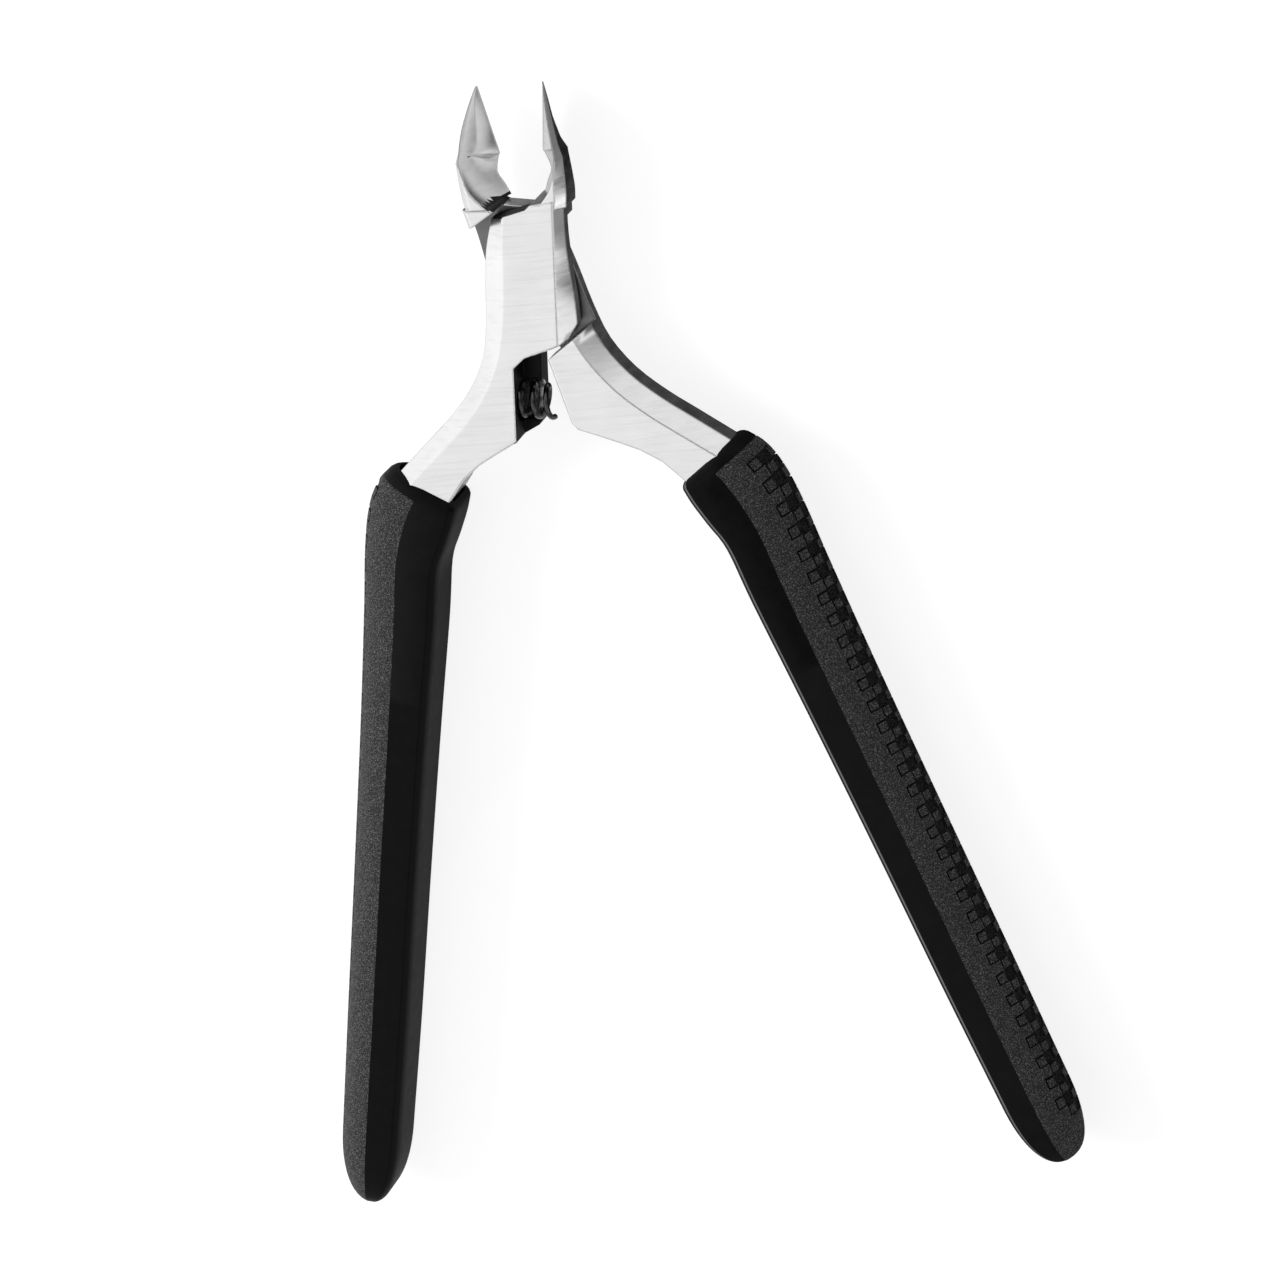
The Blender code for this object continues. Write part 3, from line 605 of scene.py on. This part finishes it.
def make_shell(side, name):
    """The smooth part: a closed tube from the socket's floor over the collar and down to the end."""
    stations = [(distance, inset, 0.0) for distance, inset in COLLAR_ROUND]
    stations.append((COLLAR + SEAM, 0.0, SHELL_UNDER))
    stations += [(d, 0.0, SHELL_UNDER) for d in np.arange(COLLAR + 1, GRIP.straight, 1.0)]
    ends = 1 - np.linspace(1, 0, SHELL_END_RINGS) ** 2
    stations += [(GRIP.straight + END_LENGTH * e, 0.0, SHELL_UNDER) for e in ends]
    rings = []
    for distance, share in SOCKET:
        middle, across, half, thick, size = GRIP.at(distance)
        section = np.array(shell_section(half, thick, size, 0.0)) * (share, share * SOCKET_THICKNESS)
        rings.append(set_section(middle, across, section, side))
    for distance, inset, under in stations:
        middle, across, half, thick, size = GRIP.at(distance)
        section = np.array(shell_section(half, thick, size, under))
        section = section * ((half - inset) / half, (thick - inset) / thick)
        rings.append(set_section(middle, across, section, side))
    verts, faces = loft(rings)
    shell = new_piece(name + "_smooth", verts, faces, BODY_OF_SIDE[side], name)
    paint(shell, SMOOTH, GLINT_PAINTED_EDGE)
    count = len(rings[0])
    # On the right grip only, the edge strip gets the lighter black: a painted glint
    for polygon in shell.data.polygons:
        columns = {v % count for v in polygon.vertices}
        if side == RIGHT and len(polygon.vertices) == 4 and columns <= GLINT_PAINTED_COLUMNS:
            polygon.material_index = 1
    smooth_by_angle(shell, 50)


def cell_lines(first, count):
    """Positions across cells where the pattern's height changes: two at each wall of a pad."""
    edge = (1 - PAD_SHARE) / 2
    marks = (0.0, edge - WALL_SHARE / 2, edge + WALL_SHARE / 2, 0.5)
    marks += (1 - edge - WALL_SHARE / 2, 1 - edge + WALL_SHARE / 2)
    lines = [first + (cell + mark) * CELL for cell in range(count) for mark in marks]
    return lines + [first + count * CELL]


def on_pad(position):
    """Whether this place in a cell, from 0 to 1, is on the pad's top."""
    edge = (1 - PAD_SHARE) / 2 + WALL_SHARE / 4
    return edge < position < 1 - edge


def pattern_depth(along, around):
    """How far the surface is cut in, for a place in the pattern in cells. Pads stand in every second cell."""
    row, column = math.floor(along), math.floor(around)
    if column < 0 or column >= PATTERN_COLUMNS or along < 0:
        return 0.0
    if (row + column) % 2:
        pad = on_pad(along - row) and on_pad(around - column)
        return 0.0 if pad else PATTERN_DEPTH
    return 0.0 if column in (0, PATTERN_COLUMNS - 1) else PATTERN_DEPTH


def pattern_columns(side):
    """Lines round the outer side, as shares of its start angle and in cells of the pattern."""
    _, _, half, thick, _ = GRIP.at(PATTERN_MIDDLE)
    _, reach, rise, start = outer_ellipse(half, thick)
    angles = np.linspace(-start, start, 400)
    arc = np.column_stack([reach * np.cos(angles), rise * np.sin(angles)])
    travel = np.concatenate([[0], np.cumsum(np.linalg.norm(np.diff(arc, axis=0), axis=1))])
    # The two grips are one moulding turned half round, so the pattern is near the right one's front
    first = PATTERN_BAND
    if side == RIGHT:
        first = travel[-1] - PATTERN_BAND - PATTERN_COLUMNS * CELL
    last = first + PATTERN_COLUMNS * CELL
    around = [
        np.linspace(0, first, PLAIN_POINTS)[:-1],
        cell_lines(first, PATTERN_COLUMNS)[:-1],
        np.linspace(last, travel[-1], PLAIN_POINTS),
    ]
    around = np.concatenate(around)
    return np.interp(around, travel, angles) / start, (around - first) / CELL


def make_overlay(side, name):
    """The grained skin, with its pattern of squares cut between pads."""
    shares, cells_around = pattern_columns(side)
    rows = int((GRIP.length - PATTERN_START - PATTERN_END) / CELL)
    down = [COLLAR + past for past in SKIN_EDGE]
    down += cell_lines(PATTERN_START, rows)
    last = down[-1]
    ends = np.linspace(1 / SKIN_END_RINGS, 1, SKIN_END_RINGS)
    down += [last + (GRIP.length - last) * (1 - (1 - t) ** 2) for t in ends]
    rings = []
    for k, distance in enumerate(down):
        middle, across, half, thick, size = GRIP.at(distance)
        centre, reach, rise, start = outer_ellipse(half, thick)
        in_cells = (distance - PATTERN_START) / CELL
        lip = SKIN_EDGE_INSET if k == 0 else 0.0
        outer = []
        for share, cell in zip(shares, cells_around):
            angle = share * start
            inset = lip + pattern_depth(in_cells + TINY, cell + TINY) * (in_cells < rows) * size
            a = centre + (reach - inset) * math.cos(angle)
            outer.append((a + SEAM * size, (rise - inset) * math.sin(angle)))
        inner = []
        for angle in np.linspace(start, -start, PLAIN_POINTS):
            a = max(centre + (reach - SKIN * size) * math.cos(angle), ridge_of(half) + SEAM * size)
            inner.append((a, (rise - SKIN * size) * math.sin(angle)))
        rings.append(set_section(middle, across, outer + inner, side))
    verts, faces = loft(rings)
    overlay = new_piece(name + "_grained", verts, faces, BODY_OF_SIDE[side], name)
    paint(overlay, GRAINED, RECESS_PAINTED_SHADE)
    count = len(rings[0])
    for polygon in overlay.data.polygons:
        corners = [divmod(v, count) for v in polygon.vertices]
        if len(corners) == 4 and max(c for _, c in corners) < len(cells_around):
            along = np.mean([(down[r] - PATTERN_START) / CELL for r, _ in corners])
            about = np.mean([cells_around[c] for _, c in corners])
            # Sunken cells get the darker rubber: painted shade
            if along < rows and pattern_depth(along, about) > 0:
                polygon.material_index = 1
    smooth_by_angle(overlay, 28)


# ---------------------------------------------------------------- spring

SPRING_Y = -12.35
SPRING_RADIUS = 1.62
SPRING_WIRE = 0.29
SPRING_TURNS = 4.0
SPRING_START = -3.3
SPRING_LENGTH = 5.0
# This makes about the first half turn lie flat, as a closed end
SPRING_DEAD_SHARE = 0.14
SPRING_PHASE = math.pi
SPRING_STEPS = 240
WIRE_SIDES = 14


def make_spring():
    """The coil spring on the front lever's own x axis, its wire swept round by rings."""
    share = np.linspace(0, 1, SPRING_STEPS + 1)
    eased = np.maximum(0, share - SPRING_DEAD_SHARE * (1 - share))
    angle = SPRING_PHASE + 2 * math.pi * SPRING_TURNS * share
    outward = np.column_stack([np.zeros_like(angle), np.cos(angle), np.sin(angle)])
    path = np.column_stack(
        [
            SPRING_START + SPRING_LENGTH * eased,
            SPRING_Y + SPRING_RADIUS * np.cos(angle),
            SPRING_RADIUS * np.sin(angle),
        ]
    )
    tangent = np.gradient(path, axis=0)
    tangent /= np.linalg.norm(tangent, axis=1)[:, None]
    other = np.cross(tangent, outward)
    turn = np.linspace(0, 2 * math.pi, WIRE_SIDES + 1)[:-1, None]
    rings = []
    for centre, out, across in zip(path, outward, other):
        ring = centre + SPRING_WIRE * (np.cos(turn) * out + np.sin(turn) * across)
        rings.append(closed_to_world(ring * (LEFT, 1, 1), LEFT))
    verts, faces = loft(rings)
    spring = new_piece(
        "return_spring_wire", verts, faces, BODY_OF_SIDE[LEFT], "return_spring"
    )
    paint(spring, SPRING_STEEL)
    smooth_by_angle(spring, 60)
    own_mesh(spring)


# ---------------------------------------------------------------- stage

FLOOR_HALF_SIZE = 3.0
FLOOR_HEIGHT = -0.0004
REFLECTED_FLOOR_HEIGHT = -0.0003
FLOOR_GREY = 0.25
FLOOR_GLOW = 0.82
# The reflected floor's glow by how slanting it is seen: dark from straight above, pale towards the horizon
REFLECTED_GLOW = ((0.08, 0.03), (0.22, 0.7), (0.8, 0.9))
# It fades between these x places, from the first strength to the second
REFLECTED_FADE = (-0.002, 0.007, 1.15, 0.28)

# Patches of the studio's sky: direction, full and fading radius in degrees, and how much lighter or darker
SKY_BASE = 0.55
SKY_LEAST = 0.02
SKY_PATCHES = (
    ((-0.97, 0.1, 0.2), 32, 62, 0.6),
    ((-0.32, -0.32, 0.89), 14, 24, 0.42),
    ((0.2, -0.37, 0.9), 9, 16, -1.0),
    ((0.08, 0.2, 0.97), 11, 19, -1.0),
    ((0.6, -0.5, 0.62), 14, 24, 0.5),
    ((0.80, -0.6, 0.05), 12, 20, 0.8),
    ((0.95, -0.1, 0.28), 16, 26, -0.5),
    ((0.43, 0.69, 0.56), 16, 30, 0.4),
)
LAMP_PLACE = (-0.8, 0.2, 0.4)
LAMP_SIZE = 0.5
LAMP_POWER = 9


def make_plane(name, height, material):
    mesh = bpy.data.meshes.new(name)
    work = bmesh.new()
    bmesh.ops.create_grid(work, x_segments=1, y_segments=1, size=FLOOR_HALF_SIZE)
    work.to_mesh(mesh)
    work.free()
    plane = bpy.data.objects.new(name, mesh)
    plane.location.z = height
    scene.collection.objects.link(plane)
    paint(plane, material)
    return plane


def make_floor():
    """A pale floor."""
    pale, _, shader = new_material("pale_floor", 0.9, color=(FLOOR_GREY, FLOOR_GREY, FLOOR_GREY))
    shader.inputs["Emission Color"].default_value = (1, 1, 1, 1)
    shader.inputs["Emission Strength"].default_value = FLOOR_GLOW
    floor = make_plane("floor", FLOOR_HEIGHT, pale)
    floor.visible_glossy = False


def make_reflected_floor():
    """The floor that only the steel's reflections see."""
    dark, tree, shader = new_material("floor_in_reflections", 1.0, color=(0, 0, 0))
    shader.inputs["Specular IOR Level"].default_value = 0.0
    facing = tree.nodes.new("ShaderNodeLayerWeight")
    facing.inputs["Blend"].default_value = 0.5
    glow = grey_ramp(tree, facing.outputs["Facing"], REFLECTED_GLOW)
    tree.links.new(glow, shader.inputs["Emission Color"])
    coordinates = tree.nodes.new("ShaderNodeTexCoord")
    place = tree.nodes.new("ShaderNodeSeparateXYZ")
    tree.links.new(coordinates.outputs["Object"], place.inputs["Vector"])
    fade = remap(tree, place.outputs["X"], *REFLECTED_FADE)
    tree.links.new(fade, shader.inputs["Emission Strength"])
    floor = make_plane("floor_in_reflections", REFLECTED_FLOOR_HEIGHT, dark)
    floor.visible_camera = False
    floor.visible_diffuse = False
    floor.visible_shadow = False


def sky_patch(tree, direction, inner, outer, strength):
    """A round patch of sky: full within inner degrees of the direction, gone by outer degrees."""
    coordinates = tree.nodes.new("ShaderNodeTexCoord")
    dot = tree.nodes.new("ShaderNodeVectorMath")
    dot.operation = "DOT_PRODUCT"
    dot.inputs[1].default_value = Vector(direction).normalized()
    tree.links.new(coordinates.outputs["Generated"], dot.inputs[0])
    node = tree.nodes.new("ShaderNodeMapRange")
    node.interpolation_type = "SMOOTHSTEP"
    node.inputs["From Min"].default_value = math.cos(math.radians(outer))
    node.inputs["From Max"].default_value = math.cos(math.radians(inner))
    node.inputs["To Max"].default_value = strength
    tree.links.new(dot.outputs["Value"], node.inputs["Value"])
    return node.outputs["Result"]


def calculate(tree, operation, value, number):
    """A math node on a value and a number; its second input stays free to be linked."""
    node = tree.nodes.new("ShaderNodeMath")
    node.operation = operation
    node.inputs[1].default_value = number
    tree.links.new(value, node.inputs[0])
    return node


def make_sky():
    """Soft studio light from all round: a pale sky with lighter and darker patches."""
    world = bpy.data.worlds.new("studio")
    world.use_nodes = True
    tree = world.node_tree
    background = tree.nodes["Background"]
    background.inputs["Color"].default_value = (1, 1, 1, 1)
    total = None
    for patch in SKY_PATCHES:
        add = calculate(tree, "ADD", sky_patch(tree, *patch), SKY_BASE)
        if total is not None:
            tree.links.new(total, add.inputs[1])
        total = add.outputs["Value"]
    least = calculate(tree, "MAXIMUM", total, SKY_LEAST)
    tree.links.new(least.outputs["Value"], background.inputs["Strength"])
    scene.world = world


def make_lamp():
    """One large soft lamp from the left."""
    light = bpy.data.lights.new("key", "AREA")
    light.shape = "DISK"
    light.size = LAMP_SIZE
    light.energy = LAMP_POWER
    lamp = bpy.data.objects.new("key", light)
    lamp.location = LAMP_PLACE
    lamp.rotation_euler = (-lamp.location).to_track_quat("-Z", "Y").to_euler()
    lamp.visible_glossy = False
    scene.collection.objects.link(lamp)


def make_camera():
    """The camera, turned and placed from the pivot."""
    turn = (
        Matrix.Rotation(VIEW_ROLL, 3, "Z")
        @ Matrix.Rotation(VIEW_PITCH, 3, "X")
        @ Matrix.Rotation(-VIEW_YAW, 3, "Y")
    ).transposed()
    camera = bpy.data.objects.new("camera", bpy.data.cameras.new("camera"))
    camera.data.lens = LENS
    camera.data.sensor_width = SENSOR_WIDTH
    place = PIVOT + turn @ Vector((VIEW_RIGHT, VIEW_UP, VIEW_DISTANCE))
    camera.matrix_world = Matrix.Translation(place) @ turn.to_4x4()
    scene.collection.objects.link(camera)
    scene.camera = camera


# ---------------------------------------------------------------- build

make_lever("front_lever", LEFT)
make_lever("rear_lever", RIGHT)
paint(frame["nodes"]["pivot_screw"], STEEL)
make_spring()
for side, hand in ((LEFT, "left"), (RIGHT, "right")):
    make_shell(side, hand + "_grip_shell")
    make_overlay(side, hand + "_grip_overlay")
make_floor()
make_reflected_floor()
make_sky()
make_lamp()
make_camera()
scene.view_settings.view_transform = "Standard"
